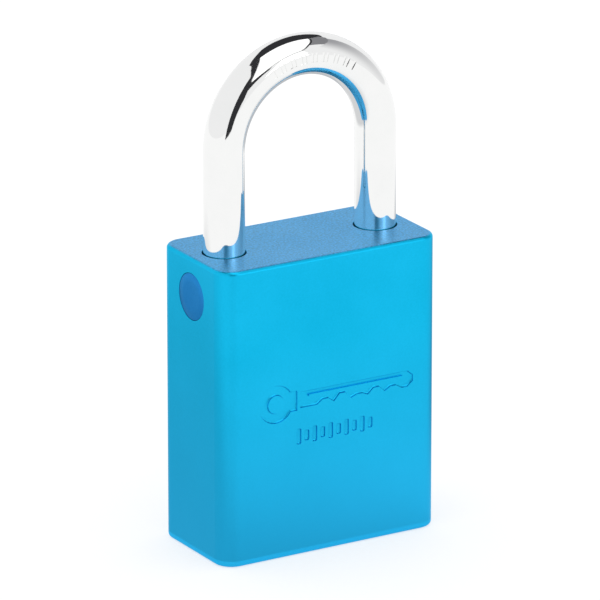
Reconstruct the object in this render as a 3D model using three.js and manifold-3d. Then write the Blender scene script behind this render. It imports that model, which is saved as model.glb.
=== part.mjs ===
// Keyed safety padlock: solid aluminium case, round steel shackle held by two balls,
// pin tumbler cylinder in the bottom.
// Millimetres, +Z up. The origin is the centre of the bottom face, the front faces -Y,
// the short (toe) leg of the shackle is at -X and the long (heel) leg at +X.
// The padlock is modelled closed, with its plug turned to the unlocked position.

import * as THREE from 'three';
import { mergeVertices } from 'three/addons/utils/BufferGeometryUtils.js';
import Module from 'manifold-3d';

const wasm = await Module();
wasm.setup();

// case
const caseWidth = 38.1;
const caseDepth = 19.05;
const caseHeight = 47;
const caseCornerRadius = 3;
const caseEdgeRound = 0.6;

// shackle
const rodRadius = 3.175;
const legX = 13.3;
const clearHeight = 25.9; // case top to the underside of the bow
const toeTip = 35.2;
const heelTip = 22;
const shackleLift = 12.5;
const legBoreRadius = 3.375;
const toeBoreFloor = 32.6;
const heelBoreFloor = 9;
const tipChamfer = 0.7;

// ball lock: ball centres lie on one cross bore along X
const ballHeight = 40.9;
const ballRadius = 3;
const toeBallUnlocked = 6.9; // distance of the ball's centre from the cylinder's axis
const heelBallUnlocked = 7.9;
const ballLocked = 8.9;
const crossBoreRadius = 3.2;
const notchRadius = 3.25;
const retentionDepth = 1.1; // depth of the heel leg's flat and groove
const retentionHalfWidth = 2.4;
const sidePlugRadius = 3.5;
const sidePlugLength = 2;

// actuator
const actuatorRadius = 5.9;
const chamberRadius = 6.2;
const chamberTop = 44.7;
const actuatorFloor = 29.2;
const actuatorTop = 44.1;
const ballClearance = 3.1;
const plugTurn = Math.PI / 2;

// lock cylinder
const plugRadius = 5.5;
const plugFaceRadius = 5;
const plugFace = 0.3;
const shoulderRadius = 6.1;
const shoulderFloor = 1.5;
const shoulderTop = 2.6;
const plugNeckRadius = 4.6;
const plugRear = 26.7;
const neckTop = 27.7;
const plugTop = 28.7;
const tangTop = 33.2;
const tangThickness = 3;
const tangLength = 9;
const shellFloor = 1.3;
const shellTop = 26.4;
const shellRadius = 7;
const shellBore = 5.7;
const cylinderBore = 7.3;
const cylinderBoreTop = 28.1;
const pinBlockEnd = 15.6; // outer face of the pin block, towards -X
const pinBlockHalfWidth = 3.4;
const earStart = 9.6; // the ear above the block takes the retaining screw
const earTop = 30;
const keywayTop = 25.6;

// pin stacks
const stackCount = 6;
const firstStack = 5.2;
const stackPitch = 3.7;
const pinChamberRadius = 1.5;
const pinRadius = 1.3;
const keyPinOuter = 5.25;
const keyPinLengths = [4.4, 3.7, 4.7, 4, 3.5, 4.2];
const driverInner = 5.9;
const driverLength = 4.4;
const spoolDrivers = [1, 3, 4];
const pinSpringLength = 3.9;
const coverRecess = 14.8;
const coverRecessHalfWidth = 2.2;
const coverFloor = 3.2;
const coverTop = 25.7;
const coverGap = 0.25;

// small parts
const screwX = 12.6;
const screwHeadFloor = 32.9;
const screwHeadRadius = 2.3;
const screwHeadHeight = 1.8;
const screwRadius = 1.45;
const screwHoleRadius = 1.7;
const drillPinX = [9, 12.6];
const drillPinHeight = 2.45;
const drillPinRadius = 0.6;
const plateThickness = 1.1;
const plateRecess = 1.3;
const plateLeft = 16.1; // from the cylinder's axis to the plate's end under the pin block
const plateRight = 7.9;
const plateCornerRadius = 3.7;
const fitGap = 0.3;

// sides of large and small round parts
const fine = 32;
const coarse = 14;

const anodisedBlue = new THREE.MeshStandardMaterial({ color: 0x14b6ea, roughness: 0.42, metalness: 0.6 });
const anodisedDark = new THREE.MeshStandardMaterial({ color: 0x2878c0, roughness: 0.45, metalness: 0.6 });
const chrome = new THREE.MeshStandardMaterial({ color: 0xf2f3f4, roughness: 0.08, metalness: 1 });
const steel = new THREE.MeshStandardMaterial({ color: 0xb4b6b8, roughness: 0.3, metalness: 1 });
const springSteel = new THREE.MeshStandardMaterial({ color: 0x8e9194, roughness: 0.35, metalness: 1 });
const brass = new THREE.MeshStandardMaterial({ color: 0xc9a24a, roughness: 0.35, metalness: 1 });
const stainless = new THREE.MeshStandardMaterial({ color: 0xa9adb0, roughness: 0.4, metalness: 1 });

// a closed geometry as a solid that can be joined and cut
function solidOf(geometry) {
  const bare = geometry.clone();
  bare.deleteAttribute('normal');
  bare.deleteAttribute('uv');
  const merged = mergeVertices(bare, 1e-5);
  const corners = merged.index.array;
  const triangles = [];
  for (let i = 0; i < corners.length; i += 3) {
    const [a, b, c] = corners.slice(i, i + 3);
    if (a !== b && b !== c && c !== a) triangles.push(a, b, c);
  }
  const vertProperties = new Float32Array(merged.attributes.position.array);
  const triVerts = new Uint32Array(triangles);
  return new wasm.Manifold(new wasm.Mesh({ numProp: 3, vertProperties, triVerts }));
}

function geometryOf(solid) {
  const mesh = solid.getMesh();
  const geometry = new THREE.BufferGeometry();
  geometry.setAttribute('position', new THREE.BufferAttribute(mesh.vertProperties, 3));
  geometry.setIndex(new THREE.BufferAttribute(mesh.triVerts, 1));
  geometry.computeVertexNormals();
  return geometry;
}

function joined(...solids) {
  return solids.reduce((whole, next) => whole.add(next));
}

function cut(solid, ...tools) {
  return tools.reduce((rest, tool) => rest.subtract(tool), solid);
}

// a cylinder along Z from low to high
function post(radius, low, high, x = 0, segments = fine) {
  const geometry = new THREE.CylinderGeometry(radius, radius, high - low, segments);
  geometry.rotateX(Math.PI / 2);
  geometry.translate(x, 0, (low + high) / 2);
  return solidOf(geometry);
}

// a cylinder along X at one height
function crossPost(radius, low, high, z, segments = fine) {
  const geometry = new THREE.CylinderGeometry(radius, radius, high - low, segments);
  geometry.rotateZ(Math.PI / 2);
  geometry.translate((low + high) / 2, 0, z);
  return solidOf(geometry);
}

// a block between two corners, centred in Y
function block(x0, x1, halfY, z0, z1) {
  const geometry = new THREE.BoxGeometry(x1 - x0, 2 * halfY, z1 - z0);
  geometry.translate((x0 + x1) / 2, 0, (z0 + z1) / 2);
  return solidOf(geometry);
}

function ballAt(radius, x, z) {
  const geometry = new THREE.SphereGeometry(radius, 20, 12);
  geometry.translate(x, 0, z);
  return solidOf(geometry);
}

// a turned part: [radius, z] points from the bottom of the axis to its top, or a closed ring
function turned(profile, segments = fine) {
  const points = profile.map(([radius, z]) => new THREE.Vector2(radius, z));
  const geometry = new THREE.LatheGeometry(points, segments);
  geometry.rotateX(Math.PI / 2);
  return solidOf(geometry);
}

function roundedRectangle(width, depth, radius) {
  const x = width / 2 - radius;
  const y = depth / 2 - radius;
  const shape = new THREE.Shape();
  shape.absarc(x, y, radius, 0, Math.PI / 2);
  shape.absarc(-x, y, radius, Math.PI / 2, Math.PI);
  shape.absarc(-x, -y, radius, Math.PI, 1.5 * Math.PI);
  shape.absarc(x, -y, radius, 1.5 * Math.PI, 2 * Math.PI);
  return shape;
}

// a flat outline raised from z0 to z1
function plate(shape, z0, z1, curveSegments = 6) {
  const geometry = new THREE.ExtrudeGeometry(shape, { depth: z1 - z0, bevelEnabled: false, curveSegments });
  geometry.translate(0, 0, z0);
  return solidOf(geometry);
}

function polygon(radius, sides) {
  const points = Array.from({ length: sides }, (_, i) => {
    const angle = (2 * Math.PI * i) / sides;
    return new THREE.Vector2(radius * Math.cos(angle), radius * Math.sin(angle));
  });
  return new THREE.Shape(points);
}

// centre line of the shackle: up the toe leg, round the bow and down the heel leg
class ShackleLine extends THREE.Curve {
  getPoint(t, target = new THREE.Vector3()) {
    const bowCentre = caseHeight + clearHeight - legX + rodRadius;
    const toe = bowCentre - toeTip;
    const bow = Math.PI * legX;
    const distance = t * (toe + bow + bowCentre - heelTip);
    if (distance <= toe) return target.set(-legX, 0, toeTip + distance);
    if (distance >= toe + bow) return target.set(legX, 0, bowCentre - (distance - toe - bow));
    const angle = Math.PI - (distance - toe) / legX;
    return target.set(legX * Math.cos(angle), 0, bowCentre + legX * Math.sin(angle));
  }
}

// centre line of a coil spring that stands on z = 0
class CoilLine extends THREE.Curve {
  constructor(radius, turns, length) {
    super();
    this.radius = radius;
    this.turns = turns;
    this.length = length;
  }

  getPoint(t, target = new THREE.Vector3()) {
    const angle = 2 * Math.PI * this.turns * t;
    return target.set(this.radius * Math.cos(angle), this.radius * Math.sin(angle), this.length * t);
  }
}

function coilSpring(coilRadius, wireRadius, turns, length, sides, stepsPerTurn) {
  const line = new CoilLine(coilRadius, turns, length - 2 * wireRadius);
  const geometry = new THREE.ExtrudeGeometry(polygon(wireRadius, sides), {
    steps: Math.round(turns * stepsPerTurn),
    extrudePath: line,
  });
  geometry.translate(0, 0, wireRadius);
  return solidOf(geometry);
}

function makePiece(parent, name, solid, material) {
  const mesh = new THREE.Mesh(geometryOf(solid), material);
  mesh.name = name;
  parent.add(mesh);
  return mesh;
}

const padlock = new THREE.Group();

function makeCase() {
  const outline = roundedRectangle(
    caseWidth - 2 * caseEdgeRound,
    caseDepth - 2 * caseEdgeRound,
    caseCornerRadius - caseEdgeRound,
  );
  const blank = new THREE.ExtrudeGeometry(outline, {
    depth: caseHeight - 2 * caseEdgeRound,
    bevelThickness: caseEdgeRound,
    bevelSize: caseEdgeRound,
    bevelSegments: 3,
    curveSegments: 6,
  });
  blank.translate(0, 0, caseEdgeRound);
  const past = caseHeight + 1;
  const wallInside = fitGap / 2 - legX - legBoreRadius; // just inside the toe bore
  const solid = cut(
    solidOf(blank),
    post(legBoreRadius, toeBoreFloor, past, -legX),
    post(legBoreRadius, heelBoreFloor, past, legX),
    crossPost(crossBoreRadius, wallInside - 1, legX, ballHeight),
    crossPost(sidePlugRadius + fitGap, -caseWidth / 2 - 1, wallInside, ballHeight),
    post(chamberRadius, cylinderBoreTop - 1, chamberTop),
    post(cylinderBore, -1, cylinderBoreTop),
    block(-pinBlockEnd - fitGap, 0, pinBlockHalfWidth + fitGap, -1, shellTop + fitGap),
    block(-pinBlockEnd - fitGap, -earStart + fitGap, pinBlockHalfWidth + fitGap, shellTop, earTop + fitGap),
    post(screwHoleRadius, earTop, toeBoreFloor + 0.1, -screwX, coarse),
    plate(plateOutline(fitGap), -1, plateRecess),
  );
  makePiece(padlock, 'lock_case', solid, anodisedBlue);
}

// outline of the bottom plate, grown by a gap for the recess that holds it
function plateOutline(gap = 0) {
  const left = -plateLeft - gap;
  const right = plateRight + gap;
  const half = plateRight + gap;
  const radius = plateCornerRadius + gap;
  const shape = new THREE.Shape();
  shape.absarc(right - radius, half - radius, radius, 0, Math.PI / 2);
  shape.absarc(left + radius, half - radius, radius, Math.PI / 2, Math.PI);
  shape.absarc(left + radius, radius - half, radius, Math.PI, 1.5 * Math.PI);
  shape.absarc(right - radius, radius - half, radius, 1.5 * Math.PI, 2 * Math.PI);
  return shape;
}

function makeBottomPlate() {
  const solid = cut(plate(plateOutline(), 0, plateThickness), post(plugFaceRadius + fitGap, -1, 2));
  makePiece(padlock, 'bottom_plate', solid, stainless);
}

function makeSidePlug() {
  const edge = 0.3;
  const solid = turned([
    [0, 0],
    [sidePlugRadius - edge, 0],
    [sidePlugRadius, edge],
    [sidePlugRadius, sidePlugLength - 0.1],
    [sidePlugRadius - 0.1, sidePlugLength],
    [0, sidePlugLength],
  ]);
  const plug = makePiece(padlock, 'cross_bore_plug', solid, anodisedDark);
  plug.position.set(sidePlugLength - caseWidth / 2, 0, ballHeight);
  plug.rotation.y = -Math.PI / 2;
}

// ring that takes the sharp edge off the end of a leg
function chamferRing(x, z) {
  const ring = turned([
    [rodRadius - tipChamfer, 0],
    [rodRadius + 0.2, 0],
    [rodRadius + 0.2, tipChamfer + 0.2],
    [rodRadius - tipChamfer, 0],
  ]);
  return ring.translate([x, 0, z]);
}

function makeShackle() {
  const blank = new THREE.ExtrudeGeometry(polygon(rodRadius, 18), {
    steps: 50,
    extrudePath: new ShackleLine(),
  });
  const lowNotch = ballHeight - shackleLift;
  const neck = rodRadius - retentionDepth;
  const inside = legX - rodRadius;
  const groove = turned([
    [neck, lowNotch - retentionHalfWidth],
    [rodRadius + 1, lowNotch - retentionHalfWidth],
    [rodRadius + 1, lowNotch + retentionHalfWidth],
    [neck, lowNotch + retentionHalfWidth],
    [neck, lowNotch - retentionHalfWidth],
  ]);
  const solid = cut(
    solidOf(blank),
    ballAt(notchRadius, -ballLocked, ballHeight),
    ballAt(notchRadius, ballLocked, ballHeight),
    ballAt(notchRadius, ballLocked, lowNotch),
    block(inside - 1, inside + retentionDepth, rodRadius + 1, lowNotch, ballHeight),
    groove.translate([legX, 0, 0]),
    chamferRing(-legX, toeTip),
    chamferRing(legX, heelTip),
  );
  makePiece(padlock, 'shackle', solid, chrome);
}

function makeShackleSpring() {
  const length = heelTip - heelBoreFloor - 2 * fitGap;
  const solid = coilSpring(2.5, 0.4, 7, length, 6, 10);
  const spring = makePiece(padlock, 'shackle_spring', solid, springSteel);
  spring.position.set(legX, 0, heelBoreFloor + fitGap);
}

function makeBalls() {
  const solid = ballAt(ballRadius, 0, 0);
  makePiece(padlock, 'locking_ball_toe', solid, steel).position.set(-toeBallUnlocked, 0, ballHeight);
  makePiece(padlock, 'locking_ball_heel', solid, steel).position.set(heelBallUnlocked, 0, ballHeight);
}

// distance from the actuator's axis at which a ray at one angle meets a ball's clearance circle
function camReach(angle, ballAngle, ballDistance) {
  const along = ballDistance * Math.cos(angle - ballAngle);
  const aside = ballDistance * Math.sin(angle - ballAngle);
  const open = actuatorRadius + 1;
  if (along < 0 || Math.abs(aside) >= ballClearance) return open;
  return Math.min(open, along - Math.sqrt(ballClearance ** 2 - aside ** 2));
}

// the cam's outline clears both balls at every angle of the plug's quarter turn
function camOutline() {
  const count = 96;
  const turnSteps = 36;
  const points = [];
  for (let i = 0; i < count; i += 1) {
    const angle = (2 * Math.PI * i) / count;
    let reach = actuatorRadius + 1;
    for (let step = 0; step <= turnSteps; step += 1) {
      const share = step / turnSteps;
      const turn = share * plugTurn;
      const toe = toeBallUnlocked + share * (ballLocked - toeBallUnlocked);
      const heel = heelBallUnlocked + share * (ballLocked - heelBallUnlocked);
      for (const lap of [-1, 0, 1]) {
        const whole = lap * 2 * Math.PI;
        reach = Math.min(reach, camReach(angle + whole, Math.PI + turn, toe));
        reach = Math.min(reach, camReach(angle + whole, turn, heel));
      }
    }
    points.push(new THREE.Vector2(reach * Math.cos(angle), reach * Math.sin(angle)));
  }
  return points;
}

function makeActuator() {
  const around = roundedRectangle(18, 18, 1);
  around.holes.push(new THREE.Path(camOutline()));
  const slotHalf = tangThickness / 2 + fitGap;
  const slot = new THREE.BoxGeometry(2 * slotHalf, 16, 2 * (tangTop + fitGap - actuatorFloor));
  slot.translate(0, 0, actuatorFloor);
  const solid = cut(
    post(actuatorRadius, actuatorFloor, actuatorTop, 0, 48),
    plate(around, ballHeight - notchRadius, actuatorTop + 1),
    solidOf(slot),
  );
  makePiece(padlock, 'actuator', solid, steel);
}

function stackHeight(index) {
  return firstStack + index * stackPitch;
}

// holes along X for the pin stacks
function pinHoles(low, high) {
  return Array.from({ length: stackCount }, (_, i) =>
    crossPost(pinChamberRadius, low, high, stackHeight(i), coarse));
}

function makeShell(cylinder) {
  const boreRadius = drillPinRadius + 0.2;
  const drillPinBore = new THREE.CylinderGeometry(boreRadius, boreRadius, shellRadius + fitGap, 12);
  const bores = drillPinX.map((x) => solidOf(drillPinBore.clone().translate(-x, 0, drillPinHeight)));
  const solid = cut(
    joined(
      post(shellRadius, shellFloor, shellTop, 0, 40),
      block(-pinBlockEnd, -3, pinBlockHalfWidth, shellFloor, shellTop),
      block(-pinBlockEnd, -earStart, pinBlockHalfWidth, shellTop - 1, earTop),
    ),
    post(shellBore, 0, shellTop + 1, 0, 40),
    post(shoulderRadius + fitGap, 0, shoulderTop + fitGap, 0, 40),
    block(-pinBlockEnd - 1, -coverRecess, coverRecessHalfWidth, coverFloor, coverTop),
    post(screwHoleRadius, shellTop - 0.4, earTop + 1, -screwX, coarse),
    ...pinHoles(-coverRecess - 0.5, -4),
    ...bores,
  );
  makePiece(cylinder, 'cylinder_shell', solid, brass);

  const length = 2 * pinBlockHalfWidth - 0.2;
  const drillPin = solidOf(new THREE.CylinderGeometry(drillPinRadius, drillPinRadius, length, 10));
  ['inner', 'outer'].forEach((place, i) => {
    const pin = makePiece(cylinder, `anti_drill_pin_${place}`, drillPin, steel);
    pin.position.set(-drillPinX[i], 0, drillPinHeight);
  });
}

function makePinCover(cylinder) {
  const halfWidth = coverRecessHalfWidth - coverGap;
  const x0 = 0.1 - pinBlockEnd;
  const solid = block(x0, -coverRecess - coverGap, halfWidth, coverFloor + coverGap, coverTop - coverGap);
  makePiece(cylinder, 'pin_chamber_cover', solid, brass);
}

// slot for the key, with a ward on each side, as an outline seen along the plug's axis
function keywayOutline() {
  return new THREE.Shape([
    new THREE.Vector2(-3.4, -0.95),
    new THREE.Vector2(-0.6, -0.95),
    new THREE.Vector2(-0.2, -0.45),
    new THREE.Vector2(1.2, -0.45),
    new THREE.Vector2(1.6, -0.95),
    new THREE.Vector2(4.3, -0.95),
    new THREE.Vector2(4.3, 0.95),
    new THREE.Vector2(2.9, 0.95),
    new THREE.Vector2(2.5, 0.5),
    new THREE.Vector2(-1.4, 0.5),
    new THREE.Vector2(-1.8, 0.95),
    new THREE.Vector2(-3.4, 0.95),
  ]);
}

function makeKeyPlug(plug) {
  const body = turned([
    [0, plugFace],
    [plugFaceRadius - 0.2, plugFace],
    [plugFaceRadius, plugFace + 0.2],
    [plugFaceRadius, shoulderFloor],
    [shoulderRadius, shoulderFloor],
    [shoulderRadius, shoulderTop],
    [plugRadius, shoulderTop],
    [plugRadius, plugRear],
    [plugNeckRadius, plugRear],
    [plugNeckRadius, neckTop],
    [plugRadius - 0.2, neckTop],
    [plugRadius - 0.2, plugTop],
    [0, plugTop],
  ], 40);
  const tang = block(-tangLength / 2, tangLength / 2, tangThickness / 2, plugTop - 1, tangTop);
  const solid = cut(
    joined(body, tang),
    plate(keywayOutline(), 0, keywayTop),
    ...pinHoles(-plugRadius - 1, 1.3),
  );
  makePiece(plug, 'key_plug', solid, brass);
}

function makeRetainingRing(plug) {
  const inner = plugNeckRadius + 0.2;
  const outer = 6.6;
  const opening = Math.PI / 4;
  const shape = new THREE.Shape();
  shape.absarc(0, 0, outer, opening, 2 * Math.PI - opening);
  shape.absarc(0, 0, inner, 2 * Math.PI - opening, opening, true);
  const solid = plate(shape, plugRear + 0.2, neckTop - 0.2, 16);
  makePiece(plug, 'plug_retaining_ring', solid, springSteel);
}

// a key pin: the pointed end rests on the key, at z = 0
function keyPinSolid(length) {
  return turned([[0, 0], [0.45, 0], [pinRadius, 0.8], [pinRadius, length], [0, length]], 12);
}

// a driver pin stands between the key pin and the spring; a spool has a thin waist
function driverPinSolid(isSpool) {
  const edge = 0.25;
  const collar = 1;
  const waist = isSpool ? [
    [pinRadius, collar],
    [0.9, collar + edge],
    [0.9, driverLength - collar - edge],
    [pinRadius, driverLength - collar],
  ] : [];
  return turned([
    [0, 0],
    [pinRadius - edge, 0],
    [pinRadius, edge],
    ...waist,
    [pinRadius, driverLength - edge],
    [pinRadius - edge, driverLength],
    [0, driverLength],
  ], 12);
}

function makePinStacks(cylinder, plug) {
  const outwards = -Math.PI / 2;
  for (let i = 0; i < stackCount; i += 1) {
    const number = i + 1;
    const height = stackHeight(i);

    const keyPin = makePiece(plug, `key_pin_${number}`, keyPinSolid(keyPinLengths[i]), brass);
    keyPin.position.set(keyPinLengths[i] - keyPinOuter, 0, height);
    keyPin.rotation.y = outwards;

    const driverSolid = driverPinSolid(spoolDrivers.includes(i));
    const driver = makePiece(cylinder, `driver_pin_${number}`, driverSolid, brass);
    driver.position.set(-driverInner, 0, height);
    driver.rotation.y = outwards;

    const coil = coilSpring(0.95, 0.2, 4, pinSpringLength, 5, 8);
    const spring = makePiece(cylinder, `pin_spring_${number}`, coil, springSteel);
    spring.position.set(-driverInner - driverLength - 0.15, 0, height);
    spring.rotation.y = outwards;
  }
}

function makeRetainingScrew() {
  const shank = screwHeadFloor - shellTop - 0.2;
  const edge = 0.3;
  const slot = new THREE.BoxGeometry(3 * screwHeadRadius, 0.8, screwHeadHeight);
  slot.translate(0, 0, screwHeadHeight);
  const body = turned([
    [0, -shank],
    [screwRadius - edge, -shank],
    [screwRadius, edge - shank],
    [screwRadius, 0],
    [screwHeadRadius, 0],
    [screwHeadRadius, screwHeadHeight - edge],
    [screwHeadRadius - edge, screwHeadHeight],
    [0, screwHeadHeight],
  ], 20);
  const screw = makePiece(padlock, 'cylinder_retaining_screw', cut(body, solidOf(slot)), steel);
  screw.position.set(-screwX, 0, screwHeadFloor);
}

function makeCylinder() {
  const cylinder = new THREE.Group();
  const plug = new THREE.Group();
  plug.rotation.z = plugTurn; // unlocked: a quarter turn from where the pin stacks line up
  cylinder.add(plug);
  padlock.add(cylinder);
  makeShell(cylinder);
  makePinCover(cylinder);
  makeKeyPlug(plug);
  makeRetainingRing(plug);
  makePinStacks(cylinder, plug);
}

makeCase();
makeShackle();
makeShackleSpring();
makeSidePlug();
makeBalls();
makeActuator();
makeCylinder();
makeRetainingScrew();
makeBottomPlate();

export default padlock;
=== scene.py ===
# Safety padlock: blue anodised aluminium case, chromed steel shackle, brass pin tumbler cylinder.
# Everything is in metres; mm turns the drawing's millimetres into metres.
import bpy
import bmesh
import math
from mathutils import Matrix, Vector


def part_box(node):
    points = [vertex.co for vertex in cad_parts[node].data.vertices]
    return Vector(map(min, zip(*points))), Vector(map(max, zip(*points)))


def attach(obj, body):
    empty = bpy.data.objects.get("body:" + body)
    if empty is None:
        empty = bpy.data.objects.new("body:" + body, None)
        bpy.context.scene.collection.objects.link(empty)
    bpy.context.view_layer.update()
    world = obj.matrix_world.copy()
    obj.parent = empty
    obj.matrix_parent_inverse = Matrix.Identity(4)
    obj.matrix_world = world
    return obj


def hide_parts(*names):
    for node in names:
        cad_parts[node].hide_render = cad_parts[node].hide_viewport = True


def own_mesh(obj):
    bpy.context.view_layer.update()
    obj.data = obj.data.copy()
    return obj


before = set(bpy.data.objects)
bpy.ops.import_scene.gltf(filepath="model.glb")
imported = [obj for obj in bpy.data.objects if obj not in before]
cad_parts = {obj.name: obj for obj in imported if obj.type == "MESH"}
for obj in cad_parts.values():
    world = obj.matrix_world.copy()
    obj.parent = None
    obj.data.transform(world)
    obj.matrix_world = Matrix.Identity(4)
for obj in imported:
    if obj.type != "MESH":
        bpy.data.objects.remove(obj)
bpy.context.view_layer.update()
mm = 0.001
hair = 1e-6  # two points this close are in the same place
flatAngle = 0.15  # radians: edges flatter than this lie inside a face
sliver = 0.002 * mm  # the narrowest face that is kept
print("frame loaded:", len(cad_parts), "nodes")


# small modelling helpers

def onlySelect(obj):
    bpy.ops.object.select_all(action="DESELECT")
    obj.select_set(True)
    bpy.context.view_layer.objects.active = obj


def openEdit(obj, mode):
    onlySelect(obj)
    bpy.ops.object.mode_set(mode="EDIT")
    bpy.ops.mesh.select_mode(type=mode)
    bpy.ops.mesh.select_all(action="DESELECT")


def closeEdit():
    bpy.ops.object.mode_set(mode="OBJECT")


def pickEdges(obj, test):
    # selects the edges whose two ends pass the test, leaving out those that lie inside a flat face
    mesh = bmesh.from_edit_mesh(obj.data)
    for edge in mesh.edges:
        if test(edge.verts[0].co, edge.verts[1].co) and edge.calc_face_angle(2) > flatAngle:
            edge.select_set(True)
    mesh.select_flush_mode()
    bmesh.update_edit_mesh(obj.data)


def bevelEdges(obj, test, width, segments=3):
    openEdit(obj, "EDGE")
    pickEdges(obj, test)
    bpy.ops.mesh.bevel(offset=width, segments=segments, affect="EDGES")
    closeEdit()


def applyModifier(obj, kind, **values):
    onlySelect(obj)
    modifier = obj.modifiers.new(kind.title(), kind)
    for name, value in values.items():
        setattr(modifier, name, value)
    bpy.ops.object.modifier_apply(modifier=modifier.name)


def settle(obj, name=None):
    # puts the object's place, turn and size into its mesh
    onlySelect(obj)
    bpy.ops.object.transform_apply(location=True, rotation=True, scale=True)
    if name:
        obj.name = name
        obj.data.name = name
    return obj


def addBox(low, high, name="box"):
    size = [b - a for a, b in zip(low, high)]
    middle = [(a + b) / 2 for a, b in zip(low, high)]
    bpy.ops.object.select_all(action="DESELECT")
    bpy.ops.mesh.primitive_cube_add(size=1, location=middle, scale=size)
    return settle(bpy.context.object, name)


def addRod(radius, start, end, sides=64, name="rod"):
    # a round bar between two points
    start, end = Vector(start), Vector(end)
    along = end - start
    turn = along.to_track_quat("Z", "Y").to_euler()
    bpy.ops.object.select_all(action="DESELECT")
    bpy.ops.mesh.primitive_cylinder_add(vertices=sides, radius=radius, depth=along.length,
                                        location=(start + end) / 2, rotation=turn)
    return settle(bpy.context.object, name)


def addBall(radius, centre, sides=48, name="ball"):
    bpy.ops.object.select_all(action="DESELECT")
    bpy.ops.mesh.primitive_uv_sphere_add(segments=sides, ring_count=sides // 2, radius=radius,
                                         location=centre)
    return settle(bpy.context.object, name)


def turnedBar(name, profile, sides=64):
    # a turned part along Z: a disc is extruded and resized through [radius, height] steps
    firstRadius, firstHeight = profile[0]
    bpy.ops.object.select_all(action="DESELECT")
    bpy.ops.mesh.primitive_circle_add(vertices=sides, radius=firstRadius, fill_type="NGON",
                                      location=(0, 0, firstHeight))
    bar = settle(bpy.context.object, name)
    openEdit(bar, "FACE")
    bpy.ops.mesh.select_all(action="SELECT")
    lastRadius, lastHeight = profile[0]
    for radius, height in profile[1:]:
        bpy.ops.mesh.extrude_region_move(TRANSFORM_OT_translate={"value": (0, 0, height - lastHeight)})
        share = radius / lastRadius
        bpy.ops.transform.resize(value=(share, share, 1), center_override=(0, 0, height))
        lastRadius, lastHeight = radius, height
    bpy.ops.mesh.select_all(action="SELECT")
    bpy.ops.mesh.normals_make_consistent(inside=False)
    closeEdit()
    return bar


def lay(obj, turn=(0, 0, 0), move=(0, 0, 0)):
    # turns a finished part about the origin (degrees) and then moves it
    obj.rotation_euler = [math.radians(a) for a in turn]
    obj.location = move
    return settle(obj)


def copyOf(obj, name, move=(0, 0, 0)):
    onlySelect(obj)
    bpy.ops.object.duplicate()
    twin = bpy.context.object
    twin.location = move
    return settle(twin, name)


def cutAway(obj, *tools):
    for tool in tools:
        applyModifier(obj, "BOOLEAN", operation="DIFFERENCE", solver="EXACT", object=tool)
        bpy.data.objects.remove(tool, do_unlink=True)


def weld(obj, *others):
    for other in others:
        applyModifier(obj, "BOOLEAN", operation="UNION", solver="EXACT", object=other)
        bpy.data.objects.remove(other, do_unlink=True)


def finishPiece(obj, body, material, nodes=(), angle=32):
    # cleans off the slivers that cuts leave, shades it smooth with crisp edges, gives it
    # its material and its body, and hides the nodes that it stands for
    openEdit(obj, "VERT")
    bpy.ops.mesh.select_all(action="SELECT")
    bpy.ops.mesh.remove_doubles(threshold=sliver)
    bpy.ops.mesh.dissolve_degenerate(threshold=sliver)
    closeEdit()
    onlySelect(obj)
    bpy.ops.object.shade_smooth_by_angle(angle=math.radians(angle))
    applyModifier(obj, "WEIGHTED_NORMAL", keep_sharp=True, weight=80)
    obj.data.materials.clear()
    obj.data.materials.append(material)
    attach(obj, body)
    if nodes:
        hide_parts(*nodes)
    return obj


# materials

def linear(hexColour):
    parts = [int(hexColour[i:i + 2], 16) / 255 for i in (1, 3, 5)]
    return [p / 12.92 if p <= 0.04045 else ((p + 0.055) / 1.055) ** 2.4 for p in parts] + [1]


def addNode(tree, kind, settings=None, links=None):
    # adds a shader node, gives it its settings and joins its inputs to earlier nodes
    node = tree.nodes.new(kind)
    for name, value in (settings or {}).items():
        if isinstance(name, str) and hasattr(node, name):
            setattr(node, name, value)
        else:
            node.inputs[name].default_value = value
    for name, source in (links or {}).items():
        tree.links.new(source, node.inputs[name])
    return node


def newMaterial(name):
    material = bpy.data.materials.new(name)
    material.use_nodes = True
    tree = material.node_tree
    shader = tree.nodes["Principled BSDF"]
    place = addNode(tree, "ShaderNodeTexCoord").outputs["Object"]
    return material, tree, shader, place


def perMm(size):
    # texture scale for a pattern whose features repeat every so many millimetres
    return 1000 / size


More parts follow.
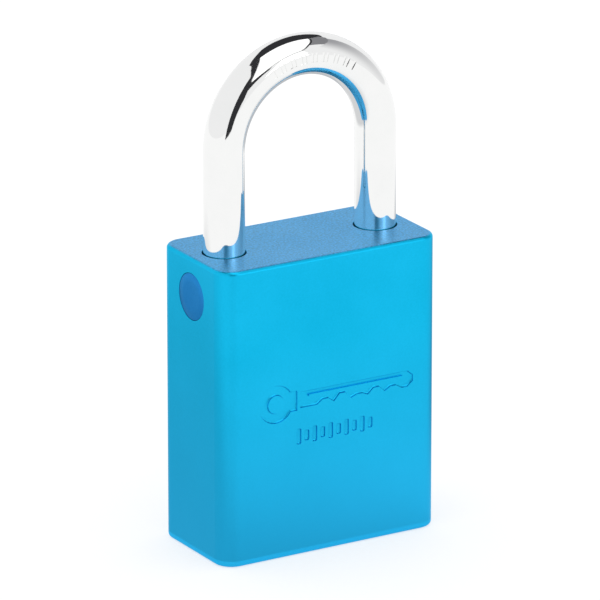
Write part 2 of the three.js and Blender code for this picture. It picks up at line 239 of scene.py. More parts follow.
def blastedAnodise(name, colours, rough, grain, wear, milledTopAndPaintedLight=None):
    # Anodised 6061 aluminium, bead blasted before dyeing: a deep even colour in the oxide,
    # a satin sheen from the blasted grain and a paler, tighter shine where it is rubbed.
    # The last argument gives (height, top colour, lower colour): above that height the face was milled and
    # is a little duller and rougher, and its paler top colour is a painted sheen; towards the bottom the
    # colour goes over to the lower colour, a painted reflection.
    material, tree, shader, place = newMaterial(name)
    cloud = addNode(tree, "ShaderNodeTexNoise", {"Scale": perMm(14), "Detail": 3.0}, {"Vector": place})
    speck = addNode(tree, "ShaderNodeTexNoise", {"Scale": perMm(0.32), "Detail": 2.0}, {"Vector": place})
    mixed = addNode(tree, "ShaderNodeMath", {"operation": "MULTIPLY_ADD", 1: 0.55},
                    {0: speck.outputs["Fac"], 2: cloud.outputs["Fac"]})
    tone = addNode(tree, "ShaderNodeMapRange", {"From Min": 0.55, "From Max": 1.0},
                   {"Value": mixed.outputs[0]})
    baseColour = addNode(tree, "ShaderNodeMix", {"data_type": "RGBA", 6: linear(colours[0]),
                                          7: linear(colours[1])},
                  {0: tone.outputs["Result"]}).outputs[2]
    # rubbed patches: broad soft noise decides where handling has polished the blasted skin
    rub = addNode(tree, "ShaderNodeTexNoise", {"Scale": perMm(5), "Detail": 5.0, "Roughness": 0.6},
                  {"Vector": place})
    sheen = addNode(tree, "ShaderNodeMapRange", {"From Min": 0.3, "From Max": 0.7,
                                                 "To Min": rough + wear, "To Max": rough - wear},
                    {"Value": rub.outputs["Fac"]}).outputs["Result"]
    if milledTopAndPaintedLight:
        height, hexPaintedTopSheen, hexPaintedLowReflection = milledTopAndPaintedLight
        where = addNode(tree, "ShaderNodeSeparateXYZ", links={"Vector": place})
        # painted reflection: the lower end of the case goes over to a bluer tone, standing in for the
        # surroundings reflected low in its faces
        paintedLowReflectionMask = addNode(tree, "ShaderNodeMapRange", {"From Min": 34 * mm, "From Max": 0.0, "To Max": 0.8},
                       {"Value": where.outputs["Z"]})
        baseColour = addNode(tree, "ShaderNodeMix", {"data_type": "RGBA", 7: linear(hexPaintedLowReflection)},
                      {0: paintedLowReflectionMask.outputs["Result"], 6: baseColour}).outputs[2]
        onTop = addNode(tree, "ShaderNodeMapRange", {"From Min": height - 0.1 * mm, "From Max": height},
                        {"Value": where.outputs["Z"]})
        grit = addNode(tree, "ShaderNodeMapRange", {"From Min": 0.35, "From Max": 0.65,
                                                    "To Min": 0.8, "To Max": 1.2},
                       {"Value": speck.outputs["Fac"]})
        # painted sheen: above the top edge the colour is the paler top colour, speckled by the grain
        paintedTopSheen = addNode(tree, "ShaderNodeMix", {"data_type": "RGBA", "blend_type": "MULTIPLY", 0: 1.0,
                                                 6: linear(hexPaintedTopSheen)},
                         {7: grit.outputs["Result"]})
        baseColour = addNode(tree, "ShaderNodeMix", {"data_type": "RGBA"},
                      {0: onTop.outputs["Result"], 6: baseColour, 7: paintedTopSheen.outputs[2]}).outputs[2]
        sheen = addNode(tree, "ShaderNodeMath", {"operation": "MULTIPLY_ADD", 1: 0.06},
                        {0: onTop.outputs["Result"], 2: sheen}).outputs[0]
    pits = addNode(tree, "ShaderNodeTexNoise", {"Scale": perMm(grain), "Detail": 3.0, "Roughness": 0.55},
                   {"Vector": place})
    bump = addNode(tree, "ShaderNodeBump", {"Strength": 0.5, "Distance": 0.012 * mm},
                   {"Height": pits.outputs["Fac"]})
    tree.links.new(baseColour, shader.inputs["Base Color"])
    tree.links.new(sheen, shader.inputs["Roughness"])
    tree.links.new(bump.outputs["Normal"], shader.inputs["Normal"])
    shader.inputs["Metallic"].default_value = 1
    # the dyed oxide also colours the glancing reflection, but not where the cutter left it bright
    glanceTint, white = (0.6, 0.92, 1, 1), (1, 1, 1, 1)
    shader.inputs["Specular Tint"].default_value = glanceTint
    if milledTopAndPaintedLight:
        glance = addNode(tree, "ShaderNodeMix", {"data_type": "RGBA", 6: glanceTint, 7: white},
                         {0: onTop.outputs["Result"]})
        tree.links.new(glance.outputs[2], shader.inputs["Specular Tint"])
    return material


def polishedChrome():
    # Decorative chromium over nickel on a buffed hardened steel rod: a mirror with a faint
    # long-wave unevenness from buffing and very light handling haze.
    material, tree, shader, place = newMaterial("polishedChromePlate")
    haze = addNode(tree, "ShaderNodeTexNoise", {"Scale": perMm(4), "Detail": 6.0, "Roughness": 0.62},
                   {"Vector": place})
    shine = addNode(tree, "ShaderNodeMapRange", {"From Min": 0.35, "From Max": 0.75,
                                                 "To Min": 0.03, "To Max": 0.075},
                    {"Value": haze.outputs["Fac"]})
    tint = addNode(tree, "ShaderNodeMix", {"data_type": "RGBA", 6: linear("#F3F3F2"), 7: linear("#ECEDEC")},
                   {0: haze.outputs["Fac"]})
    wave = addNode(tree, "ShaderNodeTexNoise", {"Scale": perMm(3.5), "Detail": 1.0}, {"Vector": place})
    bump = addNode(tree, "ShaderNodeBump", {"Strength": 0.3, "Distance": 0.002 * mm},
                   {"Height": wave.outputs["Fac"]})
    tree.links.new(tint.outputs[2], shader.inputs["Base Color"])
    tree.links.new(shine.outputs["Result"], shader.inputs["Roughness"])
    tree.links.new(bump.outputs["Normal"], shader.inputs["Normal"])
    shader.inputs["Metallic"].default_value = 1
    return material


def turnedMetal(name, colours, rough, toolMark, axis, depth=0.006):
    # Metal turned or drawn along one axis: fine rings of tool marks across that axis,
    # with patches of handling tarnish in two close colours.
    material, tree, shader, place = newMaterial(name)
    stretch = {"X": (1, 0.02, 0.02), "Y": (0.02, 1, 0.02), "Z": (0.02, 0.02, 1)}[axis]
    lined = addNode(tree, "ShaderNodeMapping", {"Scale": stretch}, {"Vector": place})
    marks = addNode(tree, "ShaderNodeTexNoise", {"Scale": perMm(toolMark), "Detail": 4.0, "Roughness": 0.7},
                    {"Vector": lined.outputs["Vector"]})
    patch = addNode(tree, "ShaderNodeTexNoise", {"Scale": perMm(3), "Detail": 5.0, "Roughness": 0.6},
                    {"Vector": place})
    tone = addNode(tree, "ShaderNodeMapRange", {"From Min": 0.35, "From Max": 0.65},
                   {"Value": patch.outputs["Fac"]})
    colour = addNode(tree, "ShaderNodeMix", {"data_type": "RGBA", 6: linear(colours[0]),
                                             7: linear(colours[1])},
                     {0: tone.outputs["Result"]})
    shine = addNode(tree, "ShaderNodeMapRange", {"From Min": 0.3, "From Max": 0.7,
                                                 "To Min": rough - 0.07, "To Max": rough + 0.08},
                    {"Value": marks.outputs["Fac"]})
    bump = addNode(tree, "ShaderNodeBump", {"Strength": 0.6, "Distance": depth * mm},
                   {"Height": marks.outputs["Fac"]})
    tree.links.new(colour.outputs[2], shader.inputs["Base Color"])
    tree.links.new(shine.outputs["Result"], shader.inputs["Roughness"])
    tree.links.new(bump.outputs["Normal"], shader.inputs["Normal"])
    shader.inputs["Metallic"].default_value = 1
    return material


finishes = {
    "caseBlue": ("#10B2DE", "#17BAE8"),
    # a paler colour for the case top, a painted sheen
    "paintedTopSheenBlue": "#4BB4EE",
    # a bluer colour for the case's lower end, a painted reflection
    "paintedLowReflectionBlue": "#2AB0E6",
    "plugBlue": ("#1E78BE", "#2A86CC"),
    "brass": ("#C9A052", "#D8B468"),
    "pinBrass": ("#CDA85C", "#DDBB76"),
    "steel": ("#B9BBBE", "#CFD1D3"),
    "springWire": ("#8C8F93", "#A4A7AA"),
    "stainless": ("#A8ABAE", "#BCBFC2"),
}
# the case's paler top colour is a painted sheen and its bluer lower colour a painted reflection
anodisedCase = blastedAnodise("blastedBlueAnodise", finishes["caseBlue"], 0.33, 0.22, 0.02,
                              (46.99 * mm, finishes["paintedTopSheenBlue"], finishes["paintedLowReflectionBlue"]))
anodisedPlug = blastedAnodise("deepBlueAnodise", finishes["plugBlue"], 0.36, 0.22, 0.03)
chromePlate = polishedChrome()
turnedBrass = turnedMetal("turnedBrass", finishes["brass"], 0.3, 0.12, "Z")  # lathe rings round Z
sawnBrass = turnedMetal("sawnBrass", finishes["brass"], 0.36, 0.1, "Z")  # extruded and sawn body
pinBrass = turnedMetal("screwMachineBrass", finishes["pinBrass"], 0.24, 0.08, "X")  # small turned pins
keyPinBrass = turnedMetal("keyPinBrass", finishes["pinBrass"], 0.24, 0.08, "Y")
bearingSteel = turnedMetal("lappedBearingSteel", finishes["steel"], 0.16, 0.5, "Z", 0.001)
sinteredSteel = turnedMetal("sinteredSteel", finishes["steel"], 0.38, 0.15, "Z", 0.01)
springWire = turnedMetal("drawnSpringWire", finishes["springWire"], 0.32, 0.06, "Z")
brushedStainless = turnedMetal("brushedStainless", finishes["stainless"], 0.34, 0.08, "Y", 0.008)
print("materials made:", len(bpy.data.materials))


# case

caseValues = {
    "width": 38.1 * mm,
    "depth": 19.05 * mm,
    "height": 47 * mm,
    "cornerRadius": 3 * mm,
    "edgeRound": 0.6 * mm,
    "legX": 13.3 * mm,
    "legBore": 3.375 * mm,
    "toeBoreFloor": 32.6 * mm,
    "heelBoreFloor": 9 * mm,
    "crossBore": 3.2 * mm,
    "crossHeight": 40.9 * mm,
    "sideHole": 3.68 * mm,
    "mouthChamfer": 0.12 * mm,
    "camChamber": (6.2 * mm, 27 * mm, 44.7 * mm),  # radius, floor and ceiling
    "cylinderBore": (7.3 * mm, 28.1 * mm),  # radius and ceiling
    "blockSlot": (-15.9 * mm, 3.7 * mm, 26.7 * mm),  # outer end, half width and ceiling
    "earSlot": (-9.3 * mm, 30.3 * mm),  # inner end and ceiling
    "screwHole": (-12.6 * mm, 1.7 * mm, 32.7 * mm),  # place along X, radius and top
    "plateRecess": (-16.4 * mm, 8.2 * mm, 1.3 * mm, 4 * mm),  # left, half width, depth and corner
    "engraveDepth": 0.32 * mm,
    "engraveCove": 0.24 * mm,  # round between the engraving's wall and its floor
    "engraveCentre": (0.7 * mm, 24.9 * mm),  # X and Z of the key's middle
    "key": {"bow": 3.0 * mm, "hole": 1.4 * mm, "bowX": -10.6 * mm, "collar": (-8.2 * mm, -6.9 * mm),
            "collarHalf": 1.6 * mm, "blade": (-6.4 * mm, 13.6 * mm), "bladeHalf": 1.3 * mm,
            "rib": (-4.8 * mm, 11.8 * mm), "ribHeights": (0.3 * mm, 0.6 * mm), "tip": 0.8 * mm},
    # how far the key's lower edge rises, at millimetre steps along the blade
    "bitting": {4: 0.7, 5: 0.7, 7: 1.1, 8: 1.1, 10: 0.4, 11: 0.4, 13: 0.9, 14: 0.9, 16: 0.6, 17: 0.6},
    "tallyCentre": (0.4 * mm, 19.1 * mm),
    "tallyCount": 10,
    "tallyPitch": 1.4 * mm,
    "tallyWidth": 0.8 * mm,
    "tallyHalves": (1.25 * mm, 0.85 * mm),  # half heights, in turn
}


def coveFloor(tool, inside, values):
    # rounds the foot of an engraving's walls
    bevelEdges(tool, lambda a, b: min(a.y, b.y) > inside - hair, values["engraveCove"], 3)


def keyEngravers(values):
    # a plain key shape, 27.2 x 6 mm: ringed bow, collar and a blade with cuts
    key = values["key"]
    x, z = values["engraveCentre"]
    front = -values["depth"] / 2
    inside = front + values["engraveDepth"]
    bowX = x + key["bowX"]
    bow = addRod(key["bow"], (bowX, front - 1 * mm, z), (bowX, inside, z), 64, "keyBow")
    cutAway(bow, addRod(key["hole"], (bowX, front - 2 * mm, z), (bowX, 0, z), 40))
    coveFloor(bow, inside, values)
    start, end = key["collar"]
    half = key["collarHalf"]
    collar = addBox((x + start, front - 1 * mm, z - half), (x + end, inside, z + half), "keyCollar")
    coveFloor(collar, inside, values)
    start, end = key["blade"]
    half = key["bladeHalf"]
    blade = addBox((x + start, front - 1 * mm, z - half), (x + end, inside, z + half), "keyBlade")
    # the bitting: the lower edge steps up and down along the blade
    openEdit(blade, "EDGE")
    pickEdges(blade, lambda a, b: abs(a.x - b.x) > 1 * mm)
    bpy.ops.mesh.subdivide(number_cuts=19)
    bpy.ops.mesh.select_mode(type="VERT")
    mesh = bmesh.from_edit_mesh(blade.data)
    for step, rise in values["bitting"].items():
        for vert in mesh.verts:
            here = abs(vert.co.x - (x + start + step * 1 * mm)) < 0.1 * mm
            vert.select_set(here and vert.co.z < z)
        bmesh.update_edit_mesh(blade.data)
        bpy.ops.transform.translate(value=(0, 0, rise * mm))
        mesh = bmesh.from_edit_mesh(blade.data)
    # the tip slopes on both sides
    for side in (-1, 1):
        for vert in mesh.verts:
            vert.select_set(vert.co.x > x + end - 0.1 * mm and (vert.co.z - z) * side > 0)
        bmesh.update_edit_mesh(blade.data)
        bpy.ops.transform.translate(value=(0, 0, -side * key["tip"]))
        mesh = bmesh.from_edit_mesh(blade.data)
    closeEdit()
    coveFloor(blade, inside, values)
    # a rib left standing along the blade, where a real key has its groove
    start, end = key["rib"]
    low, high = key["ribHeights"]
    cutAway(blade, addBox((x + start, front - 2 * mm, z + low), (x + end, 0, z + high)))
    return [bow, collar, blade]


def tallyEngravers(values):
    # a row of short upright bars under the key
    x, z = values["tallyCentre"]
    front = -values["depth"] / 2
    inside = front + values["engraveDepth"]
    count, wide = values["tallyCount"], values["tallyWidth"] / 2
    bars = []
    for i in range(count):
        middle = x + (i - (count - 1) / 2) * values["tallyPitch"]
        half = values["tallyHalves"][i % 2]
        bar = addBox((middle - wide, front - 1 * mm, z - half), (middle + wide, inside, z + half))
        bevelEdges(bar, lambda a, b: abs(a.y - b.y) > 0.5 * mm, 0.25 * mm, 3)
        coveFloor(bar, inside, values)
        bars.append(bar)
    return bars


def makeCase(values):
    halfWidth, halfDepth, top = values["width"] / 2, values["depth"] / 2, values["height"]
    case = addBox((-halfWidth, -halfDepth, 0), (halfWidth, halfDepth, top), "caseBody")
    bevelEdges(case, lambda a, b: abs(a.z - b.z) > 1 * mm, values["cornerRadius"], 12)
    bevelEdges(case, lambda a, b: abs(a.z - b.z) < 0.01 * mm and (a.z < mm or a.z > top - mm),
               values["edgeRound"], 5)
    legX, bore, cross = values["legX"], values["legBore"], values["crossHeight"]
    wall = 0.15 * mm - legX - bore
    past = top + 1 * mm
    camRadius, camFloor, camTop = values["camChamber"]
    cylinderRadius, cylinderTop = values["cylinderBore"]
    blockEnd, blockHalf, blockTop = values["blockSlot"]
    earEnd, earTop = values["earSlot"]
    screwX, screwRadius, screwTop = values["screwHole"]
    cutAway(
        case,
        addRod(bore, (-legX, 0, values["toeBoreFloor"]), (-legX, 0, past), 72),
        addRod(bore, (legX, 0, values["heelBoreFloor"]), (legX, 0, past), 72),
        addRod(values["crossBore"], (wall - mm, 0, cross), (legX, 0, cross), 48),
        addRod(values["sideHole"], (-halfWidth - mm, 0, cross), (wall, 0, cross), 72),
        addRod(camRadius, (0, 0, camFloor), (0, 0, camTop), 64),
        addRod(cylinderRadius, (0, 0, -mm), (0, 0, cylinderTop), 64),
        addBox((blockEnd, -blockHalf, -mm), (0, blockHalf, blockTop)),
        addBox((blockEnd, -blockHalf, 26 * mm), (earEnd, blockHalf, earTop)),
        addRod(screwRadius, (screwX, 0, 30 * mm), (screwX, 0, screwTop), 32),
    )
    left, half, depth, corner = values["plateRecess"]
    recess = addBox((left, -half, -mm), (half, half, depth))
    bevelEdges(recess, lambda a, b: abs(a.z - b.z) > mm, corner, 10)
    cutAway(case, recess)
    cutAway(case, *keyEngravers(values), *tallyEngravers(values))

    def nearLeg(point):
        away = math.hypot(abs(point.x) - legX, point.y)
        return abs(away - bore) < 0.03 * mm and point.z > top - 0.01 * mm

    def nearSide(point):
        away = math.hypot(point.y, point.z - cross)
        return abs(away - values["sideHole"]) < 0.03 * mm and point.x < -halfWidth + 0.01 * mm

    bevelEdges(case, lambda a, b: nearLeg(a) and nearLeg(b), values["mouthChamfer"], 3)
    bevelEdges(case, lambda a, b: nearSide(a) and nearSide(b), 0.06 * mm, 2)
    return finishPiece(case, "case", anodisedCase, ["lock_case"])


caseBody = makeCase(caseValues)
print("case:", len(caseBody.data.polygons), "faces")


# side plug, which closes the drilling for the locking balls

sidePlugValues = {"radius": 3.64 * mm, "length": 2 * mm, "edge": 0.06 * mm, "crown": 0.02 * mm}


def makeSidePlug(values):
    radius, length, edge = values["radius"], values["length"], values["edge"]
    plug = turnedBar("sidePlug", [
        (radius - 0.1 * mm, 0),
        (radius, 0.1 * mm),
        (radius, length - edge - values["crown"]),
        (radius - 0.3 * edge, length - 0.4 * edge - values["crown"]),
        (radius - edge, length - values["crown"]),
        (radius * 0.6, length - 0.3 * values["crown"]),
        (radius * 0.2, length),
    ], 72)
    lay(plug, turn=(0, -90, 0),
        move=(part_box("cross_bore_plug")[0].x + length, 0, caseValues["crossHeight"]))
    return finishPiece(plug, "case", anodisedPlug, ["cross_bore_plug"], 40)


sidePlug = makeSidePlug(sidePlugValues)


# shackle

shackleValues = {
    "rod": 3.175 * mm,
    "legX": 13.3 * mm,
    "toeTip": 35.2 * mm,
    "heelTip": 22 * mm,
    "tipChamfer": 0.7 * mm,
    "notch": 3.25 * mm,
    "notchHeights": (40.9 * mm, 28.4 * mm),
    "flatDepth": 1.1 * mm,
    "grooveHalf": 2.4 * mm,
    "sides": 64,
    "bowSteps": 72,
    "legRings": (55 * mm, 46.2 * mm),  # heights of two rings of edges on each leg
    "ball": 3 * mm,
    "ballThrow": 1 * mm,
    "stampDepth": 0.13 * mm,
    "stampCount": 16,
    "stampStart": 118,  # degrees round the bow
    "stampStep": 4.05,
    "stampPair": 1.1,  # every other bar stands this much closer to the next
    "stampTurn": 88,  # degrees round the rod, from the bow's outside to its front
    "stampBar": (0.2 * mm, 0.5 * mm, 0.72 * mm),  # half sizes
}


def stampTools(values, bowCentre):
    # a row of plain stamped bars round the front of the bow
    rod, legX = values["rod"], values["legX"]
    wide, deep, tall = values["stampBar"]
    psi = math.radians(values["stampTurn"])
    tools = []
    for i in range(values["stampCount"]):
        closer = values["stampPair"] if i % 2 else 0
        phi = math.radians(values["stampStart"] - i * values["stampStep"] - closer)
        bar = addBox((-wide, -deep, -tall), (wide, deep, tall), "stamp")
        reach = legX + rod * math.cos(psi)
        depth = rod * math.sin(psi) + (deep - values["stampDepth"])
        # the bar's height runs across the rod, its width along the bow
        bar.rotation_euler = (0, math.pi / 2 - phi, 0)
        bar.location = (reach * math.cos(phi), -depth, bowCentre + reach * math.sin(phi))
        tools.append(settle(bar))
    return tools


def makeShackle(values):
    rod, legX = values["rod"], values["legX"]
    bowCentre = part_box("shackle")[1].z - rod - legX - 0.002 * mm
    bpy.ops.object.select_all(action="DESELECT")
    bpy.ops.mesh.primitive_circle_add(vertices=values["sides"], radius=rod, fill_type="NOTHING",
                                      location=(-legX, 0, bowCentre))
    shackle = settle(bpy.context.object, "shackleRod")
    openEdit(shackle, "VERT")
    bpy.ops.mesh.select_all(action="SELECT")
    bpy.ops.mesh.spin(steps=values["bowSteps"], angle=-math.pi, center=(0, 0, bowCentre), axis=(0, 1, 0))
    closeEdit()
    # the legs run down from the two open rings, with one ring just inside the case
    for side, tip in ((-1, values["toeTip"]), (1, values["heelTip"])):
        openEdit(shackle, "EDGE")
        pickEdges(shackle, lambda a, b: a.x * side > 0
                  and abs(a.z - bowCentre) + abs(b.z - bowCentre) < hair)
        last = bowCentre
        for height in (*values["legRings"], tip):
            bpy.ops.mesh.extrude_edges_move(TRANSFORM_OT_translate={"value": (0, 0, height - last)})
            last = height
        bpy.ops.mesh.edge_face_add()
        closeEdit()
    openEdit(shackle, "FACE")
    bpy.ops.mesh.select_all(action="SELECT")
    bpy.ops.mesh.remove_doubles(threshold=hair)
    bpy.ops.mesh.normals_make_consistent(inside=False)
    closeEdit()
    for tip in (values["toeTip"], values["heelTip"]):
        bevelEdges(shackle, lambda a, b: abs(a.z - tip) + abs(b.z - tip) < hair, values["tipChamfer"], 2)
    high, low = values["notchHeights"]
    # the centre of a ball that is pushed out to lock
    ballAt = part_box("locking_ball_heel")[0].x + values["ball"] + values["ballThrow"]
    inner = legX - rod
    groove = turnedBar("groove", [
        (rod + mm, low - values["grooveHalf"]),
        (rod + mm, low + values["grooveHalf"]),
    ], 64)
    lay(groove, move=(legX, 0, 0))
    cutAway(groove, addRod(rod - values["flatDepth"], (legX, 0, 0), (legX, 0, 60 * mm), 64))
    flat = addBox((inner - mm, -rod - mm, low), (inner + values["flatDepth"], rod + mm, high))
    cutAway(
        shackle,
        addBall(values["notch"], (-ballAt, 0, high)),
        addBall(values["notch"], (ballAt, 0, high)),
        addBall(values["notch"], (ballAt, 0, low)),
        flat,
        groove,
        *stampTools(values, bowCentre),
    )
    return finishPiece(shackle, "shackle", chromePlate, ["shackle"], 30)


shackleRod = makeShackle(shackleValues)
print("shackle:", len(shackleRod.data.polygons), "faces")


# bottom plate round the key plug

plateValues = {
    "left": -16.1 * mm,
    "right": 7.9 * mm,
    "thickness": 1.1 * mm,
    "corner": 3.7 * mm,
    "hole": 5.3 * mm,
    "edge": 0.15 * mm,
}


def makePlate(values):
    half, thick = values["right"], values["thickness"]
    plate = addBox((values["left"], -half, 0), (values["right"], half, thick), "bottomPlate")
    bevelEdges(plate, lambda a, b: abs(a.z - b.z) > 0.5 * mm, values["corner"], 10)
    cutAway(plate, addRod(values["hole"], (0, 0, -mm), (0, 0, 2 * mm), 72))
    bevelEdges(plate, lambda a, b: a.z < hair and b.z < hair, values["edge"], 3)
    return finishPiece(plate, "case", brushedStainless, ["bottom_plate"])


bottomPlate = makePlate(plateValues)


# key plug, in line with Z, with its keyway and pin holes

plugValues = {
    "face": 0.3 * mm,
    "faceRadius": 5 * mm,
    "shoulder": (6.1 * mm, 1.5 * mm, 2.6 * mm),
    "radius": 5.5 * mm,
    "rear": 26.7 * mm,
    "neck": 4.6 * mm,
    "neckTop": 27.7 * mm,
    "top": 28.7 * mm,
    "tang": (9 * mm, 3 * mm, 33.2 * mm),
    "keywayTop": 25.6 * mm,
    "pinHole": 1.5 * mm,
    "firstStack": 5.2 * mm,
    "pitch": 3.7 * mm,
    "stacks": 6,
}


def stackHeights():
    return [plugValues["firstStack"] + i * plugValues["pitch"] for i in range(plugValues["stacks"])]


def keywayCutter(values):
    # the slot is a box; two bars on one side and one on the other narrow it into wards
    top = values["keywayTop"]
    slot = addBox((-3.4 * mm, -0.95 * mm, -mm), (4.3 * mm, 0.95 * mm, top), "keyway")
    wardA = addBox((-0.4 * mm, -2 * mm, -2 * mm), (1.4 * mm, -0.45 * mm, top + mm))
    wardB = addBox((-1.6 * mm, 0.5 * mm, -2 * mm), (2.7 * mm, 2 * mm, top + mm))
    for ward, inner in ((wardA, -0.45 * mm), (wardB, 0.5 * mm)):
        openEdit(ward, "EDGE")
        pickEdges(ward, lambda a, b: abs(a.y - inner) + abs(b.y - inner) < hair and abs(a.z - b.z) > mm)
        bpy.ops.mesh.bevel(offset=0.15 * mm, segments=2, affect="EDGES")
        closeEdit()
    cutAway(slot, wardA, wardB)
    return slot


def makePlug(values):
    face, faceRadius = values["face"], values["faceRadius"]
    shoulder, floor, ceiling = values["shoulder"]
    radius, neck = values["radius"], values["neck"]
    plug = turnedBar("keyPlug", [
        (faceRadius - 0.25 * mm, face),
        (faceRadius - 0.07 * mm, face + 0.07 * mm),
        (faceRadius, face + 0.25 * mm),
        (faceRadius, floor),
        (shoulder, floor),
        (shoulder, ceiling),
        (radius, ceiling),
        (radius, values["rear"]),
        (neck, values["rear"]),
        (neck, values["neckTop"]),
        (radius - 0.2 * mm, values["neckTop"]),
        (radius - 0.2 * mm, values["top"] - 0.2 * mm),
        (radius - 0.4 * mm, values["top"]),
    ], 72)
    length, thick, top = values["tang"]
    tang = addBox((-length / 2, -thick / 2, values["top"] - mm), (length / 2, thick / 2, top))
    bevelEdges(tang, lambda a, b: a.z > top - 0.01 * mm or b.z > top - 0.01 * mm, 0.3 * mm, 2)
    weld(plug, tang)
    cutAway(plug, keywayCutter(values))
    for height in stackHeights():
        cutAway(plug, addRod(values["pinHole"], (-7 * mm, 0, height), (1.3 * mm, 0, height), 32))
    # a dished lead-in round the keyway guides the key
    bevelEdges(plug, lambda a, b: max(a.z, b.z) < face + hair and max(a.xy.length, b.xy.length) < 4.6 * mm,
               0.18 * mm, 2)
    lay(plug, turn=(0, 0, 90))
    return finishPiece(plug, "plug", turnedBrass, ["key_plug"])


keyPlug = makePlug(plugValues)


# retaining ring on the plug's neck, a spring clip with an opening

ringValues = {"inner": 4.8 * mm, "outer": 6.6 * mm, "low": 26.9 * mm, "high": 27.5 * mm}


def makeRing(values):
    ring = addRod(values["outer"], (0, 0, values["low"]), (0, 0, values["high"]), 72, "retainingRing")
    cutAway(ring, addRod(values["inner"], (0, 0, 20 * mm), (0, 0, 30 * mm), 72))
    wedge = addBox((0, 0, 26 * mm), (9 * mm, 9 * mm, 28 * mm))
    lay(wedge, turn=(0, 0, -45))
    cutAway(ring, wedge)
    bevelEdges(ring, lambda a, b: abs(a.z - b.z) < hair, 0.08 * mm, 2)
    lay(ring, turn=(0, 0, 90))
    return finishPiece(ring, "plug", springWire, ["plug_retaining_ring"])


retainingRing = makeRing(ringValues)


# cylinder shell: a tube with a pin block along its side

shellValues = {
    "floor": 1.3 * mm,
    "top": 26.4 * mm,
    "radius": 7 * mm,
    "bore": 5.7 * mm,
    "blockEnd": -15.6 * mm,
    "blockHalf": 3.4 * mm,
    "earStart": -9.6 * mm,
    "earTop": 30 * mm,
    "screwX": -12.6 * mm,
    "coverRecess": -14.8 * mm,
    "coverHalf": 2.2 * mm,
    "coverRange": (3.2 * mm, 25.7 * mm),
    "drillPins": (-9 * mm, -12.6 * mm),
    "drillPinHeight": 2.45 * mm,
}


def makeShell(values):
    floor, top, half, end = values["floor"], values["top"], values["blockHalf"], values["blockEnd"]
    shell = addRod(values["radius"], (0, 0, floor), (0, 0, top), 72, "cylinderShell")
    weld(
        shell,
        addBox((end, -half, floor), (-3 * mm, half, top)),
        addBox((end, -half, top - mm), (values["earStart"], half, values["earTop"])),
    )
    bevelEdges(shell, lambda a, b: max(a.x, b.x) < end + hair, 0.3 * mm, 3)
    coverLow, coverHigh = values["coverRange"]
    cutAway(
        shell,
        addRod(values["bore"], (0, 0, 0), (0, 0, top + mm), 72),
        addRod(6.4 * mm, (0, 0, 0), (0, 0, 2.9 * mm), 72),
        addBox((end - mm, -values["coverHalf"], coverLow),
               (values["coverRecess"], values["coverHalf"], coverHigh)),
        addRod(1.7 * mm, (values["screwX"], 0, 26 * mm), (values["screwX"], 0, 31 * mm), 32),
        *[addRod(1.5 * mm, (-15.3 * mm, 0, height), (-4 * mm, 0, height), 32) for height in stackHeights()],
        *[addRod(0.8 * mm, (x, -half - 0.25 * mm, values["drillPinHeight"]),
                 (x, half + 0.25 * mm, values["drillPinHeight"]), 24) for x in values["drillPins"]],
    )
    return finishPiece(shell, "case", sawnBrass, ["cylinder_shell"])


def makeCover(values):
    low, high = values["coverRange"]
    gap = 0.25 * mm
    half = values["coverHalf"] - gap
    cover = addBox((values["blockEnd"] + 0.1 * mm, -half, low + gap),
                   (values["coverRecess"] - gap, half, high - gap), "pinChamberCover")
    bevelEdges(cover, lambda a, b: max(a.x, b.x) < values["blockEnd"] + 0.11 * mm, 0.12 * mm, 2)
    # punch marks over each stack, where the strip is staked in
    dents = [addBall(0.5 * mm, (values["blockEnd"] - 0.25 * mm, 0, height), 16)
             for height in stackHeights()]
    cutAway(cover, *dents)
    return finishPiece(cover, "case", sawnBrass, ["pin_chamber_cover"])


def makeDrillPins(values):
    length = 2 * values["blockHalf"] - 0.2 * mm
    edge = 0.1 * mm
    pin = turnedBar("drillPin", [
        (0.5 * mm, -length / 2), (0.6 * mm, edge - length / 2),
        (0.6 * mm, length / 2 - edge), (0.5 * mm, length / 2),
    ], 24)
    lay(pin, turn=(90, 0, 0))
    outer = copyOf(pin, "drillPinOuter", (values["drillPins"][1], 0, values["drillPinHeight"]))
    lay(pin, move=(values["drillPins"][0], 0, values["drillPinHeight"]))
    pin.name = "drillPinInner"
    finishPiece(pin, "case", bearingSteel, ["anti_drill_pin_inner"])
    finishPiece(outer, "case", bearingSteel, ["anti_drill_pin_outer"])


makeShell(shellValues)
makeCover(shellValues)
makeDrillPins(shellValues)
print("cylinder shell, cover and drill pins made")


# retaining screw, slotted cheese head

screwValues = {"x": -12.6 * mm, "seat": 32.9 * mm, "shank": 1.45 * mm, "tip": 26.6 * mm,
               "head": 2.3 * mm, "headHeight": 1.8 * mm, "threadPitch": 0.5 * mm, "threadDepth": 0.14 * mm}


def makeScrew(values):
    shank, pitch, depth = values["shank"], values["threadPitch"], values["threadDepth"]
    steps = [(shank - 0.4 * mm, values["tip"]), (shank - depth, values["tip"] + 0.3 * mm)]
    height = values["tip"] + 0.5 * mm
    while height < values["seat"] - 2.2 * mm:
        # each thread is a pair of slopes up to the crest and back
        steps += [(shank, height + pitch / 2), (shank - depth, height + pitch)]
        height += pitch
    edge = 0.3 * mm
    head, top = values["head"], values["seat"] + values["headHeight"]
    steps += [(shank, values["seat"] - 1.2 * mm), (shank, values["seat"]), (head, values["seat"]),
              (head, top - edge), (head - 0.1 * mm, top - 0.1 * mm), (head - edge, top)]
    screw = turnedBar("retainingScrew", steps, 40)
    cutAway(screw, addBox((-4 * mm, -0.4 * mm, top - 0.9 * mm), (4 * mm, 0.4 * mm, top + mm)))
    lay(screw, move=(values["x"], 0, 0))
    return finishPiece(screw, "case", bearingSteel, ["cylinder_retaining_screw"])


makeScrew(screwValues)


# balls and springs

